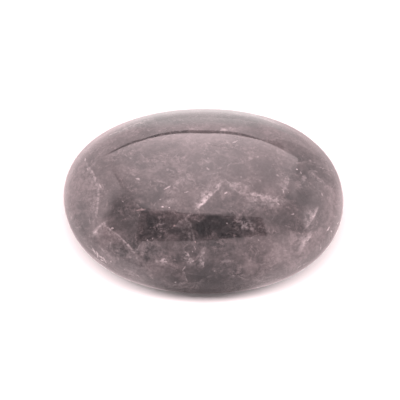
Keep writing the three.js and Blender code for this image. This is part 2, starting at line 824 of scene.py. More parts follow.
class StreakEffect(Effect):
    """One small streak: how near a place is to the straight line between two points.

    The nearest point of the line is start + t * along, where t is the dot product of place - start and
    along, divided by the length of along squared, and is kept from 0 to 1. Towards both ends the streak
    narrows to 0.45 of its width.
    """

    name = "small_streak"
    inputs = (("Place", VECTOR), ("Start", VECTOR), ("Along", VECTOR), ("Width", NUMBER))
    outputs = (("Mask", NUMBER),)

    def wire(self, graph: Graph, put: bpy.types.NodeOutputs) -> dict[str, Socket]:
        """Wires the streak.

        Args:
            graph: the group's graph.
            put: the group's inputs; Along runs from the start to the end.

        Returns:
            How strong the streak is.
        """
        away = graph.vector("SUBTRACT", put["Place"], put["Start"])
        squared = graph.measure("DOT_PRODUCT", put["Along"], put["Along"])
        share = graph.math("DIVIDE", graph.measure("DOT_PRODUCT", away, put["Along"]), squared)
        kept = graph.math("MINIMUM", graph.math("MAXIMUM", share, 0.0), 1.0)
        beside = graph.measure("DISTANCE", away, graph.scaled(put["Along"], kept))
        from_middle = graph.math("MULTIPLY_ADD", kept, 2.0, -1.0)
        endwards = graph.math("MULTIPLY", from_middle, from_middle)
        narrower = graph.math("MULTIPLY_ADD", endwards, -0.55, 1.0)
        width = graph.math("MULTIPLY", put["Width"], narrower)
        return {"Mask": graph.step(beside, 0.0, width, 1.0, 0.0)}


class BankEffect(Effect):
    """One soft bank of cloud, of clearer stone or of painted glow, an oval whose edge is broken up by a
    texture.
    """

    name = "soft_bank"
    inputs = (("Place", VECTOR), ("Middle", VECTOR), ("Spread", VECTOR), ("Texture", NUMBER))
    outputs = (("Mask", NUMBER),)

    def wire(self, graph: Graph, put: bpy.types.NodeOutputs) -> dict[str, Socket]:
        """Wires the bank.

        Args:
            graph: the group's graph.
            put: the group's inputs; Spread is how far the oval reaches along X, Y and Z.

        Returns:
            How strong the bank is.
        """
        away = graph.vector("SUBTRACT", put["Place"], put["Middle"])
        share = graph.measure("LENGTH", graph.vector("DIVIDE", away, put["Spread"]))
        ragged = graph.math("MULTIPLY_ADD", put["Texture"], -0.7, share)
        return {"Mask": graph.step(ragged, -0.1, 0.65, 1.0, 0.0)}


# ---- What lies in the stone --------------------------------------------------------------------------


@dataclass(frozen=True)
class HealedCrack:
    """One healed crack, placed where its middle meets the skin.

    Attributes:
        spot: X and Y of its middle, in millimetres.
        run: the bearing of its line over the stone, in degrees from +X.
        dip: how far the sheet leans over from straight down, in degrees; it leans to the left of its run,
            or to the right where this is negative.
        reach: how far the sheet spreads from its middle, in millimetres.
        line: how pale its line is, from 0 to 1.
        line_width: half the line's width, in millimetres.
        veil: how pale its veil is, from 0 to 1.
        veil_depth: how deep the veil fades to a third, in millimetres.
        wander: how far the line wanders off its curve, in millimetres.
        bend: the radius of the sheet's curve, in millimetres; it curves to the left, or to the right where
            this is negative.
        face: the broad face that it is in.
    """

    spot: Spot
    run: float
    dip: float
    reach: float
    line: float
    line_width: float
    veil: float
    veil_depth: float
    wander: float = 1.0
    bend: float = 300.0
    face: Face = Face.CROWN

    def curve(self, skin: SurfaceMap) -> tuple[Vector, Vector]:
        """Where the crack is.

        Args:
            skin: where the stone's surface lies.

        Returns:
            The crack's middle and the centre of its curve, both in millimetres.
        """
        middle, normal = skin.find(self.spot, self.face)
        bearing = math.radians(self.run)
        run = Vector((math.cos(bearing), math.sin(bearing), 0.0))
        along = (run - normal * run.dot(normal)).normalized()
        left = normal.cross(along)
        dip = math.radians(self.dip)
        down = math.cos(dip) * -normal + math.sin(dip) * left
        across = along.cross(down).normalized()
        if across.dot(left) < 0:
            across = -across
        place = middle / MM
        return place, place + across * self.bend


@dataclass(frozen=True)
class Streak:
    """One small mark: a fleck, a dot or a hairline.

    Attributes:
        start: X and Y of its start, in millimetres.
        end: X and Y of its end, in millimetres; for a dot it is a little beside the start.
        width: half its width, in millimetres.
        strength: how much of its tone it shows, from 0 to 1.
        face: the broad face that it is in.
    """

    start: Spot
    end: Spot
    width: float
    strength: float
    face: Face = Face.CROWN

    def ends(self, skin: SurfaceMap) -> tuple[Vector, Vector]:
        """Where it starts and how it runs.

        Args:
            skin: where the stone's surface lies.

        Returns:
            Its start and the way from there to its end, both in millimetres.
        """
        start = skin.find(self.start, self.face)[0] / MM
        along = skin.find(self.end, self.face)[0] / MM - start
        return start, along if along.length > 0.05 else Vector((0.05, 0.05, 0.0))


@dataclass(frozen=True)
class Bank:
    """One soft bank of cloud, of clearer stone, or of painted glow where light shines through a thin end.

    Attributes:
        spot: X and Y of its middle, in millimetres.
        spread: how far it reaches along X and along Y, in millimetres.
        strength: how much of its tone it shows, from 0 to 1.
        face: the broad face that it is in.
    """

    spot: Spot
    spread: Spot
    strength: float
    face: Face = Face.CROWN


# Each row: spot, run, dip, reach, line, line_width, veil, veil_depth.
CROWN_CRACKS: tuple[HealedCrack, ...] = (
    HealedCrack((0.5, -6.1), 46.0, 60.0, 3.6, 0.4, 0.16, 0.66, 1.1, wander=0.8),
    HealedCrack((3.0, -3.2), 49.0, 60.0, 3.8, 0.1, 0.14, 0.24, 1.4, wander=0.7),
    HealedCrack((-2.9, -12.0), -71.0, -62.0, 5.2, 0.09, 0.12, 0.11, 1.4),
    HealedCrack((-25.2, 2.9), -63.0, -62.0, 5.8, 0.26, 0.13, 0.15, 2.4, wander=0.7),
    HealedCrack((-23.6, -4.0), -98.0, -62.0, 5.4, 0.26, 0.13, 0.15, 2.4, wander=0.7),
    HealedCrack((-23.4, -10.1), 39.0, -55.0, 3.2, 0.4, 0.2, 0.24, 1.2),
    HealedCrack((-18.2, -13.2), -47.0, -66.0, 8.0, 0.34, 0.08, 0.13, 3.0, wander=0.25),
    HealedCrack((24.6, -8.2), -121.0, -60.0, 3.8, 0.5, 0.12, 0.42, 1.5, wander=0.4),
    HealedCrack((23.4, -13.2), -107.0, -56.0, 3.6, 0.12, 0.12, 0.5, 1.7),
    HealedCrack((8.8, -11.5), -35.0, 76.0, 3.4, 0.05, 0.14, 0.3, 0.8),
    HealedCrack((7.9, -1.8), -3.0, -62.0, 3.4, 0.06, 0.14, 0.34, 1.5),
    HealedCrack((13.6, -4.3), -5.0, -60.0, 6.8, 0.1, 0.16, 0.42, 1.5, wander=1.2),
    HealedCrack((19.0, -1.2), -110.0, -66.0, 3.4, 0.1, 0.14, 0.2, 1.5),
    HealedCrack((0.2, -18.2), -90.0, -50.0, 2.6, 0.04, 0.14, 0.42, 1.2, wander=0.8),
    HealedCrack((-3.1, -17.7), -60.0, -50.0, 2.8, 0.04, 0.16, 0.46, 1.2),
    HealedCrack((-9.0, -18.1), 15.0, -50.0, 2.2, 0.05, 0.14, 0.4, 1.0),
    HealedCrack((-24.0, -15.3), -38.0, -50.0, 3.2, 0.1, 0.16, 0.55, 1.2),
    HealedCrack((-7.2, -5.5), 10.0, -62.0, 2.0, 0.2, 0.12, 0.3, 0.8, wander=0.6),
    HealedCrack((-6.0, -1.4), 35.0, -70.0, 4.8, 0.03, 0.1, 0.16, 2.2, wander=0.6),
    HealedCrack((26.0, 2.1), -25.0, -64.0, 3.4, 0.15, 0.16, 0.18, 1.6),
    HealedCrack((5.0, 13.0), 20.0, -66.0, 4.5, 0.08, 0.14, 0.2, 1.6),
    HealedCrack((-16.0, 15.5), 205.0, 58.0, 6.0, 0.3, 0.14, 0.25, 1.8),
    HealedCrack((14.0, 17.5), 150.0, -60.0, 5.5, 0.35, 0.18, 0.3, 2.0),
)

UNDERSIDE_CRACKS: tuple[HealedCrack, ...] = (
    HealedCrack((-8.0, 3.0), 35.0, 58.0, 11.0, 0.4, 0.2, 0.4, 1.8, wander=1.4, face=Face.UNDERSIDE),
    HealedCrack((14.0, -4.0), -60.0, -62.0, 8.0, 0.35, 0.18, 0.35, 2.2, bend=60.0, face=Face.UNDERSIDE),
    HealedCrack((-22.0, -6.0), 100.0, 60.0, 7.0, 0.4, 0.2, 0.3, 2.0, bend=-50.0, face=Face.UNDERSIDE),
    HealedCrack((3.0, -14.0), 15.0, 70.0, 6.0, 0.2, 0.14, 0.3, 1.5, face=Face.UNDERSIDE),
    HealedCrack((20.0, 10.0), 70.0, 55.0, 6.5, 0.4, 0.18, 0.35, 1.6, face=Face.UNDERSIDE),
)

# Each row: start, end, width, strength.
WHITE_MARKS: tuple[Streak, ...] = (
    Streak((-15.0, 0.0), (-14.2, -0.3), 0.34, 0.5),
    Streak((-15.0, -0.9), (-14.9, -1.0), 0.22, 0.35),
    Streak((-8.7, -3.0), (-7.2, -2.3), 0.24, 0.6),
    Streak((-8.4, 1.9), (-7.7, 1.5), 0.55, 0.2),
    Streak((0.7, 1.9), (1.3, 1.6), 0.36, 0.36),
    Streak((0.9, 4.5), (1.0, 4.1), 0.26, 0.36),
    Streak((-4.2, -3.9), (-3.2, -3.8), 0.19, 0.45),
    Streak((-9.3, -7.2), (-8.9, -7.2), 0.3, 0.95),
    Streak((-7.5, -7.3), (-7.4, -7.3), 0.3, 0.95),
    Streak((-18.1, -5.4), (-18.1, -5.3), 0.28, 0.7),
    Streak((5.1, -10.9), (5.2, -10.9), 0.26, 1.0),
    Streak((-14.0, -8.3), (-14.5, -9.0), 0.12, 0.3),
    Streak((-9.7, -5.5), (-9.3, -5.2), 0.2, 0.4),
    Streak((4.7, -4.2), (5.2, -3.8), 0.24, 0.6),
    Streak((2.7, -2.8), (3.7, -1.9), 0.32, 0.4),
    Streak((-3.6, -9.4), (-2.9, -9.0), 0.34, 0.16),
    Streak((-27.3, 7.2), (-27.1, 6.6), 0.42, 0.55),
    Streak((-26.7, 4.5), (-26.2, 3.8), 0.28, 0.45),
    Streak((-23.4, -0.3), (-23.2, -1.4), 0.32, 0.4),
    Streak((-25.7, -7.8), (-25.5, -8.8), 0.15, 0.35),
    Streak((-24.6, -8.1), (-24.9, -8.8), 0.18, 0.35),
    Streak((-20.5, -10.9), (-20.2, -10.9), 0.34, 0.6),
    Streak((-24.7, -11.1), (-23.8, -10.5), 0.36, 0.4),
    Streak((-24.1, -15.0), (-23.9, -14.6), 0.4, 0.8),
    Streak((-23.3, -15.7), (-22.5, -16.2), 0.42, 0.85),
    Streak((-21.0, -16.7), (-20.7, -16.8), 0.32, 0.45),
    Streak((-25.6, -13.4), (-24.9, -14.0), 0.26, 0.3),
    Streak((21.1, 3.0), (21.2, 2.9), 0.4, 0.95),
    Streak((21.9, 2.4), (22.1, 1.9), 0.36, 0.5),
    Streak((22.5, 1.3), (23.2, 1.0), 0.8, 0.26),
    Streak((22.1, 0.8), (22.8, 0.3), 0.6, 0.18),
    Streak((10.4, 4.9), (10.9, 4.7), 0.6, 0.26),
    Streak((9.3, 6.1), (9.4, 6.1), 0.26, 0.45),
    Streak((12.1, 5.2), (12.6, 5.2), 0.24, 0.3),
    Streak((-25.0, -13.6), (-24.5, -14.4), 0.5, 0.62),
    Streak((-24.2, -14.3), (-23.8, -15.1), 0.44, 0.75),
    Streak((-23.5, -15.1), (-22.8, -15.7), 0.5, 0.75),
    Streak((-22.6, -15.7), (-22.0, -16.5), 0.4, 0.6),
    Streak((-23.0, -14.2), (-22.3, -14.9), 0.36, 0.2),
    Streak((16.5, 0.9), (16.9, 0.7), 0.3, 0.4),
    Streak((17.6, -2.5), (18.1, -3.2), 0.3, 0.5),
    Streak((18.9, -3.0), (19.3, -3.3), 0.22, 0.3),
    Streak((26.9, -1.8), (26.9, -2.5), 0.28, 0.4),
    Streak((28.1, -9.6), (28.6, -8.8), 0.38, 0.9),
    Streak((29.0, -9.2), (29.3, -9.6), 0.32, 0.65),
    Streak((31.0, -6.6), (30.6, -7.4), 0.38, 0.85),
    Streak((26.5, -12.6), (26.6, -13.5), 0.18, 0.7),
    Streak((21.3, -17.7), (22.0, -17.2), 0.36, 0.42),
    Streak((22.6, -16.8), (24.0, -15.9), 0.26, 0.36),
    Streak((16.5, -5.8), (17.0, -6.1), 0.26, 0.5),
    Streak((19.7, -8.2), (20.1, -7.8), 0.24, 0.5),
    Streak((18.0, -10.7), (19.5, -10.7), 0.14, 0.25),
    Streak((14.1, -3.9), (14.3, -3.9), 0.22, 0.35),
    Streak((-12.5, -14.1), (-12.2, -14.1), 0.24, 0.8),
    Streak((-11.4, -13.8), (-11.1, -13.6), 0.26, 0.45),
    Streak((-2.2, -15.5), (-1.7, -16.3), 0.16, 0.35),
    Streak((-2.5, -16.5), (-2.3, -16.8), 0.2, 0.5),
    Streak((-8.2, -18.4), (-9.0, -18.2), 0.24, 0.4),
    Streak((-4.0, -19.4), (-4.7, -20.1), 0.26, 0.35),
    Streak((-7.4, -19.4), (-6.2, -20.0), 0.1, 0.35),
    Streak((-6.3, -21.7), (-5.9, -21.7), 0.3, 0.5),
    Streak((3.9, -18.5), (6.1, -18.2), 0.6, 0.14),
    Streak((-21.8, 13.0), (-19.3, 13.9), 0.34, 0.42),
    Streak((4.0, 12.5), (5.6, 12.6), 0.6, 0.4),
    Streak((6.8, 8.8), (7.7, 9.4), 0.3, 0.35),
    Streak((1.0, 8.6), (1.5, 8.3), 0.3, 0.3),
)

ROSY_MARKS: tuple[Streak, ...] = (
    Streak((-14.8, -7.4), (-13.1, -7.5), 0.42, 0.42),
    Streak((-6.6, -11.3), (-6.3, -11.3), 0.42, 0.4),
    Streak((-1.9, -14.7), (-1.8, -14.9), 0.28, 0.5),
)

DARK_MARKS: tuple[Streak, ...] = (
    Streak((1.7, 8.1), (3.5, 7.6), 0.15, 0.75),
    Streak((3.9, 7.5), (4.6, 7.3), 0.1, 0.5),
    Streak((5.6, 6.8), (7.8, 6.6), 0.12, 0.6),
    Streak((0.4, 5.1), (2.6, 3.8), 0.1, 0.3),
    Streak((-4.9, 3.3), (-4.1, 3.9), 0.16, 0.6),
    Streak((-4.1, 3.9), (-2.8, 4.3), 0.1, 0.4),
    Streak((3.6, 3.9), (6.2, 4.6), 0.1, 0.6),
    Streak((-10.4, -0.1), (-9.4, 0.6), 0.11, 0.5),
    Streak((-13.9, -1.4), (-12.7, -0.4), 0.09, 0.5),
    Streak((5.3, -2.8), (5.9, -2.0), 0.13, 0.65),
    Streak((4.0, -7.2), (4.8, -5.8), 0.15, 0.4),
    Streak((3.0, -2.6), (3.1, -2.5), 0.2, 0.6),
    Streak((4.2, -1.0), (4.3, -1.0), 0.22, 0.6),
    Streak((1.5, -0.9), (1.6, -0.9), 0.24, 0.6),
    Streak((-1.0, 2.6), (-0.8, 1.9), 0.2, 0.6),
    Streak((7.7, 1.8), (7.8, 1.9), 0.22, 0.6),
    Streak((28.6, -9.4), (28.8, -9.8), 0.2, 0.4),
    Streak((21.6, 2.2), (21.5, 1.7), 0.22, 0.5),
    Streak((-7.0, -2.2), (-4.6, -0.4), 0.12, 0.45),
    Streak((4.9, 7.2), (6.8, 6.7), 0.14, 0.45),
    Streak((6.8, 6.7), (8.0, 7.3), 0.13, 0.35),
    Streak((4.8, 4.3), (5.5, 4.3), 0.16, 0.45),
    Streak((9.9, 5.7), (10.6, 5.8), 0.16, 0.45),
    Streak((11.4, 4.6), (11.5, 4.6), 0.22, 0.5),
    Streak((7.6, 1.8), (7.7, 1.6), 0.2, 0.5),
    Streak((15.8, 6.6), (16.3, 7.8), 0.14, 0.4),
    Streak((19.0, 5.5), (19.0, 5.4), 0.18, 0.45),
    Streak((5.0, -2.9), (6.1, -1.7), 0.16, 0.45),
    Streak((11.1, -4.3), (11.3, -4.3), 0.2, 0.4),
    Streak((12.4, -4.6), (13.1, -4.7), 0.16, 0.4),
    Streak((28.2, 1.3), (28.3, 1.0), 0.22, 0.4),
    Streak((28.3, 0.1), (28.2, -0.3), 0.22, 0.4),
    Streak((1.5, -7.9), (2.6, -6.3), 0.14, 0.3),
    Streak((-13.7, 9.5), (-12.9, 9.3), 0.2, 0.4),
    Streak((-9.9, 6.6), (-9.2, 6.4), 0.2, 0.35),
)

# Each row: spot, spread, strength.
CLEAR_BANKS: tuple[Bank, ...] = (
    Bank((-19.0, -5.0), (6.0, 6.0), 0.55),
    Bank((-27.4, -9.4), (4.0, 3.4), 0.6),
    Bank((-9.5, -4.3), (3.0, 1.8), 0.6),
    Bank((-1.0, -21.0), (8.5, 5.0), 0.95),
    Bank((2.4, -11.6), (6.8, 3.6), 0.95),
    Bank((2.5, -7.0), (7.0, 3.0), 0.3),
    Bank((13.0, 2.5), (6.0, 4.5), 0.55),
    Bank((22.5, -4.2), (6.5, 3.4), 0.95),
    Bank((19.6, -4.4), (2.6, 1.5), 0.9),
    Bank((-16.0, -10.5), (3.2, 5.0), 0.55),
    Bank((25.0, 3.4), (4.0, 3.0), 0.4),
    Bank((17.0, -9.5), (6.0, 3.0), 0.6),
    Bank((-7.5, -10.8), (6.0, 2.6), 0.5),
    Bank((14.4, -7.8), (2.0, 1.2), 0.5),
)

PALE_BANKS_AND_END_GLOW: tuple[Bank, ...] = (
    # The first two banks, at the thin left and right ends, are painted glow: light shining through the
    # thin ends, painted as paler stone.
    Bank((-30.5, 0.5), (8.0, 12.0), 0.3),
    Bank((31.0, -1.0), (5.0, 12.0), 0.55),
    Bank((18.0, -15.5), (11.0, 6.0), 0.45),
    Bank((24.5, -13.5), (6.0, 6.0), 0.4),
    Bank((13.0, -14.5), (7.0, 3.5), 0.22),
    Bank((-22.0, -12.5), (6.0, 4.5), 0.3),
    Bank((0.0, 0.4), (6.0, 4.5), 0.14),
    Bank((12.0, -5.0), (6.5, 3.0), 0.2),
    Bank((8.8, -6.3), (3.4, 2.0), 0.22),
    Bank((-9.0, -19.0), (4.5, 3.0), 0.15),
    Bank((-8.0, 12.0), (14.0, 8.0), 0.25, Face.UNDERSIDE),
    Bank((12.0, -10.0), (12.0, 8.0), 0.3, Face.UNDERSIDE),
)


# ---- The finish --------------------------------------------------------------------------------------


@dataclass(frozen=True)
class Polish:
    """The relief that the polish leaves, for bump.

    Attributes:
        waves: how many of its fine waves there are in a millimetre.
        rise: the height of the waves, in millimetres.
        groove: the depth of its dark marks and pits, in millimetres.
    """

    waves: float = 1.1
    rise: float = 0.0007
    groove: float = 0.02


@dataclass(frozen=True)
class Flakes:
    """One size of the flakes scattered through the stone.

    Attributes:
        cells: how many there are in a millimetre.
        veil_depth: how deep their veils fade to a third, in millimetres.
        ruffle: how far they are pushed out of shape, in millimetres.
        bare: the share of the cells that have none.
        veil: how pale their veils are, from 0 to 1.
        edge: how pale their edges are, from 0 to 1.
    """

    cells: float
    veil_depth: float
    ruffle: float
    bare: float
    veil: float
    edge: float


@dataclass(frozen=True)
class PolishedQuartz:
    """Cloudy mauve quartz under a high polish.

    Attributes:
        deep: the colour where the stone is clear and dark.
        milky: the colour of its broad clouds.
        pale: the colour of its patches, and of the painted glow at its thin ends.
        white: the colour of its healed cracks and specks.
        rosy: the colour of its pinkish flecks.
        dark: the colour of its pits and hairlines.
        roughness: the polish, where 0 is a mirror.
        haze: where the polish is a little duller.
        ior: the refractive index of quartz.
        polish: the relief that the polish leaves.
        clouds: the kinds of cloud laid over the broad ones, with the share and the tone of each.
        grain: the least and greatest brightness of the fine grain.
        banks: the soft banks that show, by tone; the two pale ones at the thin ends are painted glow.
        flakes: the sizes of scattered flakes.
        cracks: the healed cracks that show.
        marks: the small marks that show, by tone; the dark ones are also shallow grooves.
        speck_strength: how strongly the scattered pale specks show.
        pit_strength: how strongly the scattered dark pits show.
    """

    deep: Colour = (0.0160, 0.0174, 0.0182)
    milky: Colour = (0.0414, 0.0376, 0.0384)
    pale: Colour = (0.126, 0.110, 0.112)
    white: Colour = (0.40, 0.37, 0.375)
    rosy: Colour = (0.30, 0.235, 0.235)
    dark: Colour = (0.010, 0.009, 0.009)
    roughness: float = 0.055
    haze: Mottle = Mottle(scale=0.4, detail=3.0, roughness=0.5, start=0.3, full=0.8)
    ior: float = 1.54
    polish: Polish = Polish()
    clouds: tuple[tuple[str, float, Tone], ...] = (
        ("Patches", 0.3, Tone.PALE),
        ("Feathers", 0.28, Tone.PALE),
        ("Crumbs", 0.34, Tone.PALE),
        ("Fronts", 0.5, Tone.PALE),
        ("Rifts", 0.45, Tone.DARK),
    )
    grain: Spot = (0.82, 1.18)
    banks: tuple[tuple[Tone, tuple[Bank, ...]], ...] = (
        (Tone.CLEAR, CLEAR_BANKS),
        (Tone.PALE, PALE_BANKS_AND_END_GLOW),
    )
    flakes: tuple[Flakes, ...] = (
        Flakes(cells=0.085, veil_depth=2.6, ruffle=3.0, bare=0.35, veil=0.2, edge=0.06),
        Flakes(cells=0.19, veil_depth=1.2, ruffle=1.6, bare=0.35, veil=0.2, edge=0.1),
        Flakes(cells=0.42, veil_depth=0.5, ruffle=0.9, bare=0.45, veil=0.2, edge=0.12),
    )
    cracks: tuple[HealedCrack, ...] = CROWN_CRACKS + UNDERSIDE_CRACKS
    marks: tuple[tuple[Tone, tuple[Streak, ...]], ...] = (
        (Tone.WHITE, WHITE_MARKS),
        (Tone.ROSY, ROSY_MARKS),
        (Tone.DARK, DARK_MARKS),
    )
    speck_strength: float = 0.22
    pit_strength: float = 0.6

    def colour(self, tone: Tone) -> tuple[float, float, float, float]:
        """The finish's colour for a tone, opaque."""
        return (*getattr(self, tone.value), 1.0)

    def build(self, skin: SurfaceMap) -> bpy.types.Material:
        """Makes the material.

        Args:
            skin: where the stone's surface lies, to place the details by.

        Returns:
            The finished material.
        """
        material = bpy.data.materials.new("polished_quartz")
        material.use_nodes = True
        graph = Graph(material.node_tree)
        shader = material.node_tree.nodes["Principled BSDF"]
        shader.inputs["IOR"].default_value = self.ior
        shader.inputs["Metallic"].default_value = 0.0
        place, facing = graph.place_in_mm()
        colour, hollowed = self.surface_colour(graph, place, facing, skin)
        graph.feed(shader.inputs["Base Color"], colour)
        smooth, dull = self.roughness * 0.8, self.roughness * 1.5
        graph.feed(shader.inputs["Roughness"], graph.patches(place, self.haze, smooth, dull))
        graph.feed(shader.inputs["Normal"], self.relief(graph, place, hollowed))
        return material

    def surface_colour(
        self, graph: Graph, place: Socket, facing: Socket, skin: SurfaceMap
    ) -> tuple[Socket, Socket]:
        """Lays everything that shows in the stone, from the clouds up to the specks.

        Args:
            graph: the material's graph.
            place: where the point is, in millimetres.
            facing: the surface's own normal.
            skin: where the stone's surface lies.

        Returns:
            The colour, and where there are grooves or pits.
        """
        clouds = graph.use(CloudEffect().build(), Place=place, Offset=(31.0, 17.0, 5.0)).outputs
        colour = self.body(graph, clouds)
        colour = self.with_banks(graph, colour, place, clouds["Patches"], skin)
        colour = self.with_flakes(graph, colour, place, facing)
        colour = self.with_cracks(graph, colour, place, facing, skin)
        colour, grooves = self.with_marks(graph, colour, place, skin)
        colour, pits = self.with_specks(graph, colour, place)
        grain = graph.step(clouds["Grain"], 0.0, 1.0, *self.grain)
        return graph.scaled(colour, grain), graph.math("MAXIMUM", grooves, pits)

    def relief(self, graph: Graph, place: Socket, hollowed: Socket) -> Socket:
        """The bump of the polish: fine waves, less the grooves and pits.

        Args:
            graph: the material's graph.
            place: where the point is, in millimetres.
            hollowed: where there are grooves or pits.

        Returns:
            The normal.
        """
        polish = self.polish
        waves = graph.noise(place, polish.waves, detail=3.0, roughness=0.55).outputs["Fac"]
        raised = graph.math("MULTIPLY", waves, polish.rise)
        sunk = graph.math("MULTIPLY", hollowed, polish.groove)
        bump = graph.node("ShaderNodeBump")
        bump.inputs["Strength"].default_value = 1.0
        bump.inputs["Distance"].default_value = MM
        graph.feed(bump.inputs["Height"], graph.math("SUBTRACT", raised, sunk))
        return bump.outputs["Normal"]

    def body(self, graph: Graph, clouds: bpy.types.NodeOutputs) -> Socket:
        """The stone's own colour: dark and clear, with clouds of every size.

        Args:
            graph: the material's graph.
            clouds: the cloud group's outputs.

        Returns:
            The colour.
        """
        colour = graph.blend(clouds["Broad"], self.colour(Tone.CLEAR), self.colour(Tone.MILKY))
        for kind, share, tone in self.clouds:
            colour = graph.blend(graph.math("MULTIPLY", clouds[kind], share), colour, self.colour(tone))
        return colour

    def with_banks(
        self, graph: Graph, colour: Socket, place: Socket, texture: Socket, skin: SurfaceMap
    ) -> Socket:
        """Lays the soft banks over a colour.

        Args:
            graph: the material's graph.
            colour: the colour so far.
            place: where the point is, in millimetres.
            texture: what breaks up the banks' edges.
            skin: where the stone's surface lies.

        Returns:
            The colour with its banks.
        """
        group = BankEffect().build()
        for tone, banks in self.banks:
            covered: Feed = 0.0
            for bank in banks:
                middle = skin.find(bank.spot, bank.face)[0] / MM
                spread = (*bank.spread, max(bank.spread))
                laid = graph.use(group, Place=place, Middle=middle, Spread=spread, Texture=texture)
                covered = graph.cover(covered, graph.math("MULTIPLY", laid.outputs["Mask"], bank.strength))
            colour = graph.blend(covered, colour, self.colour(tone))
        return colour

    def with_flakes(self, graph: Graph, colour: Socket, place: Socket, facing: Socket) -> Socket:
        """Lays the scattered flakes over a colour.

        Args:
            graph: the material's graph.
            colour: the colour so far.
            place: where the point is, in millimetres.
            facing: the surface's own normal.

        Returns:
            The colour with its flakes.
        """
        group = FlakeEffect().build()
        covered: Feed = 0.0
        for number, size in enumerate(self.flakes):
            laid = graph.use(
                group,
                Place=place,
                Facing=facing,
                Cells=size.cells,
                Veil_Depth=size.veil_depth,
                Ruffle=size.ruffle,
                Bare=size.bare,
                Offset=(13.0 * number + 4.0, 29.0 - 8.0 * number, 6.0 * number),
            )
            covered = graph.cover(covered, graph.math("MULTIPLY", laid.outputs["Veil"], size.veil))
            covered = graph.cover(covered, graph.math("MULTIPLY", laid.outputs["Edge"], size.edge))
        return graph.blend(covered, colour, self.colour(Tone.WHITE))

    def with_cracks(
        self, graph: Graph, colour: Socket, place: Socket, facing: Socket, skin: SurfaceMap
    ) -> Socket:
        """Lays each healed crack's veil and line over a colour.

        Args:
            graph: the material's graph.
            colour: the colour so far.
            place: where the point is, in millimetres.
            facing: the surface's own normal.
            skin: where the stone's surface lies.

        Returns:
            The colour with its cracks.
        """
        group = SheetEffect().build()
        slow = graph.noise(place, scale=0.5, detail=3.0, roughness=0.6).outputs["Fac"]
        wobble = graph.math("SUBTRACT", slow, 0.5)
        shifted = graph.vector("ADD", place, (7.3, 3.1, 11.9))
        texture = graph.noise(shifted, scale=1.0, detail=5.0, roughness=0.72).outputs["Fac"]
        covered: Feed = 0.0
        for crack in self.cracks:
            middle, centre = crack.curve(skin)
            laid = graph.use(
                group,
                Place=place,
                Facing=facing,
                Wobble=wobble,
                Texture=texture,
                Centre=centre,
                Radius=abs(crack.bend),
                Middle=middle,
                Reach=crack.reach,
                Line_Width=crack.line_width,
                Wander=crack.wander,
                Veil_Depth=crack.veil_depth,
            )
            covered = graph.cover(covered, graph.math("MULTIPLY", laid.outputs["Veil"], crack.veil))
            covered = graph.cover(covered, graph.math("MULTIPLY", laid.outputs["Line"], crack.line))
        return graph.blend(covered, colour, self.colour(Tone.WHITE))

    def with_marks(
        self, graph: Graph, colour: Socket, place: Socket, skin: SurfaceMap
    ) -> tuple[Socket, Feed]:
        """Lays the small marks over a colour.

        Args:
            graph: the material's graph.
            colour: the colour so far.
            place: where the point is, in millimetres.
            skin: where the stone's surface lies.

        Returns:
            The colour with its marks, and where the dark ones are grooves.
        """
        group = StreakEffect().build()
        bent = graph.swirl(place, scale=2.6, detail=3.0, reach=0.5)
        grooves: Feed = 0.0
        for tone, marks in self.marks:
            covered: Feed = 0.0
            for mark in marks:
                start, along = mark.ends(skin)
                laid = graph.use(group, Place=bent, Start=start, Along=along, Width=mark.width)
                covered = graph.cover(covered, graph.math("MULTIPLY", laid.outputs["Mask"], mark.strength))
            colour = graph.blend(covered, colour, self.colour(tone))
            if tone is Tone.DARK:
                grooves = covered
        return colour, grooves

    def with_specks(self, graph: Graph, colour: Socket, place: Socket) -> tuple[Socket, Socket]:
        """Scatters pale specks in the stone and dark pits on it.

        Args:
            graph: the material's graph.
            colour: the colour so far.
            place: where the point is, in millimetres.

        Returns:
            The colour with its specks, and where the pits are.
        """
        group = SpeckEffect().build()
        pale = graph.use(group, Place=place, Cells=0.5, Size=0.26, Share=0.3).outputs["Mask"]
        specks = graph.math("MULTIPLY", pale, self.speck_strength)
        colour = graph.blend(specks, colour, self.colour(Tone.WHITE))
        shifted = graph.vector("ADD", place, (3.7, 9.1, 1.3))
        pits = graph.use(group, Place=shifted, Cells=0.5, Size=0.28, Share=0.3).outputs["Mask"]
        dark = graph.math("MULTIPLY", pits, self.pit_strength)
        return graph.blend(dark, colour, self.colour(Tone.DARK)), pits


# ---- The piece ---------------------------------------------------------------------------------------


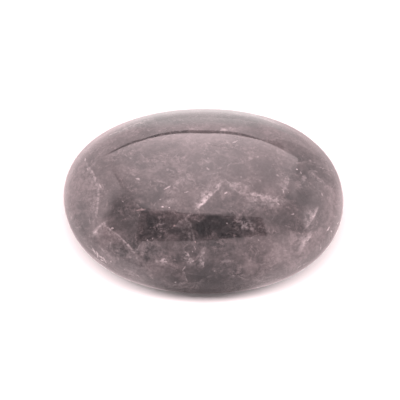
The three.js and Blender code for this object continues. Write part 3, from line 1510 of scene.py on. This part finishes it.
@dataclass
class PalmStone:
    """The stone: one closed, finely meshed skin with its worn hollows, and its finish.

    Attributes:
        form: its round form.
        finish: its material.
        wear: the small hollows in its polish.
    """

    form: StoneForm
    finish: PolishedQuartz
    wear: Wear

    def faces(self, rows: int, columns: int) -> list[list[int]]:
        """Quads between the rows and a fan at each pole; vertex 0 is the crown and the last is the base.

        Args:
            rows: rows of points between the poles.
            columns: points in a row.

        Returns:
            The faces, each a list of vertex numbers, seen anticlockwise from outside.
        """
        number = 1 + np.arange(rows * columns).reshape(rows, columns)
        after = np.roll(number, -1, axis=1)
        quads = np.stack([number[:-1], number[1:], after[1:], after[:-1]], axis=-1).reshape(-1, 4)
        crown = np.stack([np.zeros(columns, int), number[0], after[0]], axis=-1)
        base = np.stack([np.full(columns, 1 + rows * columns), after[-1], number[-1]], axis=-1)
        return quads.tolist() + crown.tolist() + base.tolist()

    def worn(self, grid: np.ndarray, normals: np.ndarray, skin: SurfaceMap) -> np.ndarray:
        """The skin with its hollows: each lowers it by depth * e ** (-(distance / width) ** 2).

        Args:
            grid: the skin's points.
            normals: their outward normals.
            skin: where the stone's surface lies.

        Returns:
            The lowered points.
        """
        drop = np.zeros(grid.shape[:2])
        for hollow in self.wear.hollows():
            centre = np.array(skin.find(hollow.spot, hollow.face)[0])
            apart = np.linalg.norm(grid - centre, axis=-1) / (hollow.width * MM)
            drop += hollow.depth * MM * np.exp(-(apart**2))
        return grid - normals * drop[..., None]

    def build(self) -> bpy.types.Object:
        """Makes the stone's object, dresses it and sets it in the frame.

        Returns:
            The stone.
        """
        grid = self.form.grid()
        normals = self.form.normals(grid)
        skin = SurfaceMap(grid, normals, self.form.middle)
        worn = self.worn(grid, normals, skin)
        points = np.concatenate([worn[0, :1], worn[1:-1].reshape(-1, 3), worn[-1, :1]])
        mesh = bpy.data.meshes.new("polished_stone")
        mesh.from_pydata(points.tolist(), [], self.faces(worn.shape[0] - 2, worn.shape[1]))
        mesh.polygons.foreach_set("use_smooth", np.ones(len(mesh.polygons), bool))
        mesh.update()
        stone = bpy.data.objects.new("polished_stone", mesh)
        bpy.context.scene.collection.objects.link(stone)
        mesh.materials.append(self.finish.build(skin))
        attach(stone, BODY)
        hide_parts(NODE)
        LOG.info("stone: %d vertices, %d faces", len(mesh.vertices), len(mesh.polygons))
        return stone


# ---- The studio --------------------------------------------------------------------------------------


def spread_evenly(values: Sequence[float], count: int) -> np.ndarray:
    """Values at even steps, read with straight lines between them.

    Args:
        values: the values, from 0 to 1 of the way.
        count: how many places to read, from 0 to 1 of the way.

    Returns:
        One value for each place.
    """
    return np.interp(np.linspace(0, 1, count), np.linspace(0, 1, len(values)), values)


def between(near: Sequence[float], far: Sequence[float], rows: int, columns: int) -> np.ndarray:
    """A grid that changes evenly from one line of values to another: near * (1 - b) + far * b.

    Args:
        near: the values along the first row, at even steps.
        far: the values along the last row, at even steps.
        rows: how many rows there are, with b from 0 to 1 over them.
        columns: how many columns there are.

    Returns:
        The grid.
    """
    blend = np.linspace(0, 1, rows)[:, None]
    return spread_evenly(near, columns) * (1 - blend) + spread_evenly(far, columns) * blend


@dataclass(frozen=True)
class Card:
    """A flat studio card above the stone, which shows only as a reflection.

    Its plane faces the stone's middle from a direction in the plane of Y and Z. Its edges are given in
    the plane as shares of its distance: across is along X, and over runs from the front horizon over
    the top towards the back.

    Attributes:
        name: the card's name.
        over_angle: the direction from the stone to the plane, in degrees up from the front horizon.
        distance: how far the plane is from the stone's middle.
        near_sides: the least and greatest across at the near edge.
        far_sides: the least and greatest across at the far edge.
        near: over along the near edge, at even steps across.
        far: over along the far edge, at even steps across.
        glow: radiance at even steps from the near edge to the far edge.
        near_shares: the share of its glow at even steps from left to right along the near edge.
        far_shares: the same along the far edge.
    """

    name: str
    over_angle: float
    distance: float
    near_sides: Spot
    far_sides: Spot
    near: tuple[float, ...]
    far: tuple[float, ...]
    glow: tuple[float, ...]
    near_shares: tuple[float, ...] = (1.0, 1.0)
    far_shares: tuple[float, ...] = (1.0, 1.0)


@dataclass(frozen=True)
class Part:
    """A soft-edged part of what the polish reflects, by the direction to it.

    Attributes:
        edges: each edge's axis, and the values on it where the part starts and where it is full.
        amount: how much it adds or takes away where it is full.
    """

    edges: tuple[tuple[str, float, float], ...]
    amount: float

    def mask(self, graph: Graph, axes: dict[str, Socket]) -> Socket:
        """The amount at a direction.

        Args:
            graph: the node tree.
            axes: the direction's value on each axis.

        Returns:
            The amount, which is 0 outside the part.
        """
        return graph.product(*(graph.step(axes[axis], *span) for axis, *span in self.edges), self.amount)


@dataclass(frozen=True)
class Room:
    """How bright the white room is, as radiance.

    X, Y and Z are those of the direction from the stone. Aside is |X| + lean * Y. Slant is slope * X + Z,
    and each value of it is a line that slopes down to the right.

    Attributes:
        fill: what lights the stone and the floor.
        shown: what the camera sees past the floor's edge.
        far_floor: what the floor itself adds where the lamp doesn't reach.
        far_floor_span: how far from the stone that starts and is full.
        front_left: what the polish reflects from the left half of the front.
        front_right: what it reflects from the right half of the front.
        back: what it reflects from the back.
        side: what it reflects from the left and right.
        left_to_right: the X over which the front's left half changes to the right.
        front_to_back: the Y over which the front changes to the back.
        middle_to_side: the aside over which both change to the sides.
        lean: how much Y counts in aside.
        slope: how much X counts in slant.
        right_corner: the brighter right corner of the front.
        low_left: the brighter left corner of the front, near the horizon.
        right_behind: the dimmer right of the back, as a share.
        right_beside: the dimmer middle of the right wall, as a share.
        floor_front: what it reflects of the floor far in front.
        floor_side: what it reflects of the floor far to the left and right.
        floor_back: what it reflects of the floor far behind.
        floor_to_side: the bearing's Y over which the floor's front changes to its sides.
        floor_to_back: the bearing's Y over which the floor's sides change to its back.
        floor_right: the dimmer right of the floor behind, as a share.
        front_shade: the share of the floor's radiance that is left close in front of the stone.
        side_shade: the share of that which is left close beside it.
        back_shade: the share of that which is left close behind it.
        shade_start: where the floor starts to brighten, in reaches of the stone, beside it and behind it.
        shade_end: where the floor is as bright as far off, measured in the same way.
    """

    fill: float = 0.28
    shown: float = 1.2
    far_floor: float = 0.9
    far_floor_span: Spot = (0.15, 0.7)
    front_left: float = 0.95
    front_right: float = 1.45
    back: float = 3.75
    side: float = 2.95
    left_to_right: Spot = (-0.5, 0.4)
    front_to_back: Spot = (0.1, 0.45)
    middle_to_side: Spot = (0.62, 0.76)
    lean: float = 0.5
    slope: float = 1.35
    right_corner: Part = Part((("X", 0.4, 0.6), ("Y", -0.25, -0.45)), 1.1)
    low_left: Part = Part((("X", -0.4, -0.6), ("Z", 0.45, 0.25)), 0.7)
    right_behind: Part = Part((("slant", 0.8, 0.92), ("Y", 0.35, 0.55)), 0.25)
    right_beside: Part = Part(
        (("X", 0.55, 0.62), ("X", 0.8, 0.7), ("Y", -0.05, 0.1), ("Y", 0.4, 0.3)), 0.25
    )
    floor_front: float = 1.0
    floor_side: float = 2.5
    floor_back: float = 3.1
    floor_to_side: Spot = (-1.0, -0.8)
    floor_to_back: Spot = (0.1, 0.8)
    floor_right: Part = Part((("X", 0.3, 0.6), ("Y", 0.1, 0.4)), 0.25)
    front_shade: float = 0.16
    side_shade: float = 0.36
    back_shade: float = 0.42
    shade_start: Spot = (0.9, 1.2)
    shade_end: Spot = (2.0, 3.0)

    def axes(self, graph: Graph, way: Feed) -> dict[str, Socket]:
        """A direction's X, Y and Z by name."""
        return dict(zip("XYZ", graph.fed("ShaderNodeSeparateXYZ", [way]).outputs))

    def walls(self, graph: Graph, way: Feed) -> Socket:
        """What the polish reflects of the walls and the ceiling.

        Args:
            graph: the node tree.
            way: the direction, as a vector of length 1.

        Returns:
            The radiance.
        """
        axes = self.axes(graph, way)
        x, y, z = axes.values()
        axes["slant"] = graph.math("MULTIPLY_ADD", x, self.slope, z)
        aside = graph.math("MULTIPLY_ADD", y, self.lean, graph.math("ABSOLUTE", x))
        halves = graph.step(x, *self.left_to_right, self.front_left, self.front_right)
        corners = graph.math("ADD", self.right_corner.mask(graph, axes), self.low_left.mask(graph, axes))
        front = graph.math("ADD", halves, corners)
        middle = graph.step(y, *self.front_to_back, front, self.back)
        seen = graph.step(aside, *self.middle_to_side, middle, self.side)
        loss = graph.math("ADD", self.right_behind.mask(graph, axes), self.right_beside.mask(graph, axes))
        return graph.math("MULTIPLY", seen, graph.math("SUBTRACT", 1.0, loss))

    def around(self, graph: Graph, y: Feed, front: float, side: float, back: float) -> Socket:
        """A value of the floor that changes from the front over the sides to the back.

        Args:
            graph: the node tree.
            y: the bearing's Y.
            front: the value in front.
            side: the value to the left and right.
            back: the value behind.

        Returns:
            The value at the bearing.
        """
        start = graph.step(y, *self.floor_to_side, front, side)
        return graph.math("ADD", start, graph.step(y, *self.floor_to_back, 0.0, back - side))

    def floor(self, graph: Graph, place: Feed, reach: Spot) -> Socket:
        """What the polish reflects of the floor.

        Close to the stone it falls to the shade that the stone throws there.

        Args:
            graph: the node tree.
            place: where on the floor, in metres from the stone's middle.
            reach: how far the stone itself reaches along X and along Y.

        Returns:
            The radiance.
        """
        axes = self.axes(graph, graph.vector("NORMALIZE", place))
        y = axes["Y"]
        far = self.around(graph, y, self.floor_front, self.floor_side, self.floor_back)
        shade = self.around(graph, y, self.front_shade, self.side_shade, self.back_shade)
        away = graph.measure("LENGTH", graph.vector("DIVIDE", place, (*reach, 1.0)))
        start = graph.step(y, *self.floor_to_back, *self.shade_start)
        end = graph.step(y, *self.floor_to_back, *self.shade_end)
        kept = graph.math("SUBTRACT", 1.0, self.floor_right.mask(graph, axes))
        return graph.product(far, kept, graph.step(away, start, end, shade, 1.0))


@dataclass(frozen=True)
class KeyLight:
    """A long soft lamp in front, which lights the stone and the floor.

    Attributes:
        over_angle: its direction from the stone, in degrees up from the front horizon.
        distance: how far it is from the stone's middle.
        length: its length from left to right.
        depth: its depth from front to back.
        power: its power in watts.
    """

    over_angle: float = 78.5
    distance: float = 0.6
    length: float = 0.8
    depth: float = 0.13
    power: float = 9.0


PANEL = Card(
    name="soft_panel",
    over_angle=120.0,
    distance=0.35,
    near_sides=(-0.62, 0.66),
    far_sides=(-0.82, 0.80),
    near=(-0.18, -0.46, -0.55, -0.59, -0.61, -0.62, -0.615, -0.60, -0.57, -0.53, -0.47, -0.38),
    far=(0.555, 0.548, 0.562, 0.577, 0.607, 0.607, 0.577, 0.572, 0.545, 0.492, 0.465, 0.455),
    glow=(2.5, 3.2, 4.6, 5.5, 7.3),
    near_shares=(0.50, 0.76, 0.94, 0.96, 0.94, 0.96, 0.88, 0.72, 0.70, 0.78, 0.66),
    far_shares=(0.50, 0.58, 0.66, 0.76, 0.88, 1.0, 0.90, 0.80, 0.70, 0.72, 0.62),
)
GAP_BEHIND_PANEL = Card(
    name="gap_behind_panel",
    over_angle=120.0,
    distance=0.349,
    near_sides=(-0.88, 0.40),
    far_sides=(-0.88, 0.40),
    near=(
        *(0.585, 0.548, 0.538, 0.54, 0.55, 0.563, 0.568, 0.577, 0.6),
        *(0.611, 0.6, 0.567, 0.568, 0.565, 0.555, 0.545, 0.54),
    ),
    far=(
        *(0.587, 0.585, 0.592, 0.602, 0.623, 0.64, 0.648, 0.658, 0.684),
        *(0.707, 0.703, 0.677, 0.666, 0.658, 0.64, 0.6, 0.555),
    ),
    glow=(0.7, 0.9),
)
GAP_END = Card(
    name="gap_end",
    over_angle=120.0,
    distance=0.348,
    near_sides=(0.37, 0.60),
    far_sides=(0.37, 0.60),
    near=(0.548, 0.535, 0.518, 0.50, 0.485),
    far=(0.565, 0.60, 0.635, 0.665, 0.68),
    glow=(0.9, 1.5),
)
DARK_CARD = Card(
    name="dark_card",
    over_angle=77.0,
    distance=0.35,
    near_sides=(-0.645, 0.505),
    far_sides=(-0.455, 0.405),
    near=(-0.42, -0.335, -0.27, -0.24, -0.237),
    far=(0.231, 0.21, 0.185, 0.155, 0.123),
    glow=(0.15, 0.15),
)


@dataclass
class Studio:
    """A white floor and room, a lamp, the cards that the polish reflects, and the camera.

    Attributes:
        target: the middle of the stone.
        reach: how far the stone reaches from its middle along X and along Y.
        tint: the colour of the studio light.
        back_tint: the colour of what the polish reflects straight behind.
        wall_turn: the Y of the direction where the walls' tint starts and ends its change to the back's.
        floor_turn: the same for the floor.
        room: how bright the room is.
        key: the lamp in front.
        cards: the cards that the polish reflects.
        floor_colour: the floor's colour.
        floor_half: half the floor's side.
        elevation: the camera's height over the horizon, in degrees.
        camera_distance: from the lens to the target.
        lens: focal length in millimetres on a sensor 36 mm wide.
        aim: how far the camera aims to the right of and above the target.
    """

    target: Vector
    reach: Spot
    tint: Colour = (1.25, 1.0, 1.03)
    back_tint: Colour = (1.12, 1.0, 1.01)
    wall_turn: Spot = (0.93, 1.0)
    floor_turn: Spot = (0.8, 0.98)
    room: Room = Room()
    key: KeyLight = KeyLight()
    cards: tuple[Card, ...] = (PANEL, GAP_BEHIND_PANEL, GAP_END, DARK_CARD)
    floor_colour: Colour = (0.80, 0.86, 0.85)
    floor_half: float = 4.0
    elevation: float = 66.0
    camera_distance: float = 0.31
    lens: float = 120.0
    aim: Spot = (-0.77 * MM, -0.125 * MM)

    def build(self) -> None:
        """Makes the floor, the room, the lamp, the cards and the camera."""
        self.make_floor()
        self.light_room()
        self.make_key()
        for card in self.cards:
            self.make_card(card)
        self.set_camera()
        bpy.context.scene.view_settings.view_transform = "Standard"
        LOG.info("studio: %d cards", len(self.cards))

    def stage_mesh(self, name: str, points: list, faces: list) -> bpy.types.Object:
        """A mesh that is part of the studio and not of the stone.

        Args:
            name: its name.
            points: its points.
            faces: its faces, as lists of point numbers.

        Returns:
            The staged object.
        """
        mesh = bpy.data.meshes.new(name)
        mesh.from_pydata(points, [], faces)
        mesh.update()
        staged = bpy.data.objects.new(name, mesh)
        bpy.context.scene.collection.objects.link(staged)
        return staged

    def make_floor(self) -> None:
        """A plain pale floor under the stone.

        Far from the stone it glows, so that it stays white there. The polish reflects it dim in front
        and bright at the back.
        """
        half = self.floor_half
        corners = [(-half, -half, 0.0), (half, -half, 0.0), (half, half, 0.0), (-half, half, 0.0)]
        floor = self.stage_mesh("floor", corners, [[0, 1, 2, 3]])
        material = bpy.data.materials.new("pale_floor")
        material.use_nodes = True
        graph = Graph(material.node_tree)
        shader = material.node_tree.nodes["Principled BSDF"]
        shader.inputs["Base Color"].default_value = (*self.floor_colour, 1.0)
        shader.inputs["Roughness"].default_value = 0.8
        shader.inputs["Specular IOR Level"].default_value = 0.1
        place = graph.node("ShaderNodeTexCoord").outputs["Object"]
        shader.inputs["Emission Color"].default_value = (1.0, 1.0, 1.0, 1.0)
        away = graph.measure("LENGTH", place)
        far_glow = graph.step(away, *self.room.far_floor_span, 0.0, self.room.far_floor)
        graph.feed(shader.inputs["Emission Strength"], far_glow)
        tone = self.reflected_tint(graph, place, self.floor_turn)
        bright = graph.fed("ShaderNodeEmission", [tone, self.room.floor(graph, place, self.reach)])
        seen = graph.node("ShaderNodeMixShader")
        graph.feed(seen.inputs[0], graph.node("ShaderNodeLightPath").outputs["Is Glossy Ray"])
        graph.feed(seen.inputs[1], shader.outputs["BSDF"])
        graph.feed(seen.inputs[2], bright.outputs["Emission"])
        graph.feed(material.node_tree.nodes["Material Output"].inputs["Surface"], seen.outputs["Shader"])
        floor.data.materials.append(material)

    def light_room(self) -> None:
        """Lights the room.

        The fill lights the stone and the floor evenly. The camera sees plain white. Reflections show
        walls that are brighter at the back and the sides.
        """
        world = bpy.data.worlds.new("white_room")
        world.use_nodes = True
        graph = Graph(world.node_tree)
        way = graph.node("ShaderNodeTexCoord").outputs["Generated"]
        path = graph.node("ShaderNodeLightPath").outputs
        walls = graph.math("SUBTRACT", self.room.walls(graph, way), self.room.fill)
        extra = graph.product(path["Is Glossy Ray"], walls)
        shown = graph.product(path["Is Camera Ray"], self.room.shown - self.room.fill)
        strength = graph.math("ADD", self.room.fill, graph.math("ADD", extra, shown))
        tone = self.reflected_tint(graph, way, self.wall_turn)
        background = world.node_tree.nodes["Background"]
        colour = graph.blend(path["Is Glossy Ray"], (*self.tint, 1.0), tone)
        graph.feed(background.inputs["Color"], colour)
        graph.feed(background.inputs["Strength"], strength)
        bpy.context.scene.world = world

    def reflected_tint(self, graph: Graph, way: Feed, turn: Spot) -> Socket:
        """The light's colour, which changes to that of the back with a direction's Y.

        Args:
            graph: the node tree.
            way: the direction, of any length.
            turn: the Y where the change starts and the Y where it ends.

        Returns:
            The colour.
        """
        ahead = graph.fed("ShaderNodeSeparateXYZ", [graph.vector("NORMALIZE", way)]).outputs["Y"]
        return graph.blend(graph.step(ahead, *turn), (*self.tint, 1.0), (*self.back_tint, 1.0))

    def towards(self, over_angle: float) -> np.ndarray:
        """The direction in the plane of Y and Z at an angle up from the front horizon."""
        return np.array([0.0, -math.cos(math.radians(over_angle)), math.sin(math.radians(over_angle))])

    def make_key(self) -> None:
        """The soft lamp in front, which no reflection shows."""
        lamp = bpy.data.lights.new("front_lamp", "AREA")
        lamp.shape = "RECTANGLE"
        lamp.size = self.key.length
        lamp.size_y = self.key.depth
        lamp.energy = self.key.power
        lamp.color = tuple(channel / max(self.tint) for channel in self.tint)
        placed = bpy.data.objects.new("front_lamp", lamp)
        way = Vector(self.towards(self.key.over_angle))
        turn = way.to_track_quat("Z", "Y").to_matrix().to_4x4()
        placed.matrix_world = Matrix.Translation(self.target + way * self.key.distance) @ turn
        placed.visible_camera = False
        placed.visible_glossy = False
        bpy.context.scene.collection.objects.link(placed)

    def make_card(self, card: Card) -> None:
        """Makes a card whose edges run through the places given for them.

        A point of the card is target + distance * (towards + across * X + over * back), with across
        even from side to side and over even from the near edge to the far edge.

        Args:
            card: the card to make.
        """
        rows, columns = 13, 61
        across = between(card.near_sides, card.far_sides, rows, columns)
        over = between(card.near, card.far, rows, columns)
        way = self.towards(card.over_angle)
        back = self.towards(card.over_angle + 90.0)
        side = across[..., None] * np.array([1.0, 0.0, 0.0])
        points = np.array(self.target) + card.distance * (way + side + over[..., None] * back)
        number = np.arange(rows * columns).reshape(rows, columns)
        quads = np.stack([number[:-1, :-1], number[:-1, 1:], number[1:, 1:], number[1:, :-1]], axis=-1)
        staged = self.stage_mesh(card.name, points.reshape(-1, 3).tolist(), quads.reshape(-1, 4).tolist())
        staged.visible_camera = False
        staged.visible_diffuse = False
        staged.visible_shadow = False
        shares = between(card.near_shares, card.far_shares, rows, columns)
        glow = spread_evenly(card.glow, rows)[:, None] * shares
        strength = staged.data.attributes.new("glow", "FLOAT", "POINT")
        strength.data.foreach_set("value", glow.reshape(-1).astype(np.float32))
        staged.data.materials.append(self.card_material(card.name))

    def card_material(self, name: str) -> bpy.types.Material:
        """A glow with the strength of the card's own attribute, on black.

        Args:
            name: the material's name.

        Returns:
            The material.
        """
        material = bpy.data.materials.new(name)
        material.use_nodes = True
        graph = Graph(material.node_tree)
        shader = material.node_tree.nodes["Principled BSDF"]
        shader.inputs["Base Color"].default_value = (0.0, 0.0, 0.0, 1.0)
        shader.inputs["Roughness"].default_value = 1.0
        shader.inputs["Specular IOR Level"].default_value = 0.0
        shader.inputs["Emission Color"].default_value = (*self.tint, 1.0)
        strength = graph.node("ShaderNodeAttribute", attribute_name="glow")
        graph.feed(shader.inputs["Emission Strength"], strength.outputs["Fac"])
        return material

    def set_camera(self) -> None:
        """A long lens that looks down at the stone from the front."""
        back = Vector(self.towards(self.elevation))
        up = Vector(self.towards(self.elevation + 90.0))
        right = Vector((1.0, 0.0, 0.0))
        aim = self.target + right * self.aim[0] + up * self.aim[1]
        data = bpy.data.cameras.new("camera")
        data.lens = self.lens
        data.sensor_width = 36.0
        data.clip_start = 0.01
        camera = bpy.data.objects.new("camera", data)
        turn = Matrix((right, up, back)).transposed().to_4x4()
        camera.matrix_world = Matrix.Translation(aim + back * self.camera_distance) @ turn
        bpy.context.scene.collection.objects.link(camera)
        bpy.context.scene.camera = camera


def main() -> None:
    """Builds the stone and then the studio."""
    logging.basicConfig(level=logging.INFO, format="%(name)s %(message)s")
    low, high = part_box(NODE)
    form = StoneForm(low=low, high=high)
    PalmStone(form=form, finish=PolishedQuartz(), wear=Wear()).build()
    Studio(target=form.middle, reach=(form.size[0] / 2, form.size[1] / 2)).build()


if __name__ == "__main__":
    main()
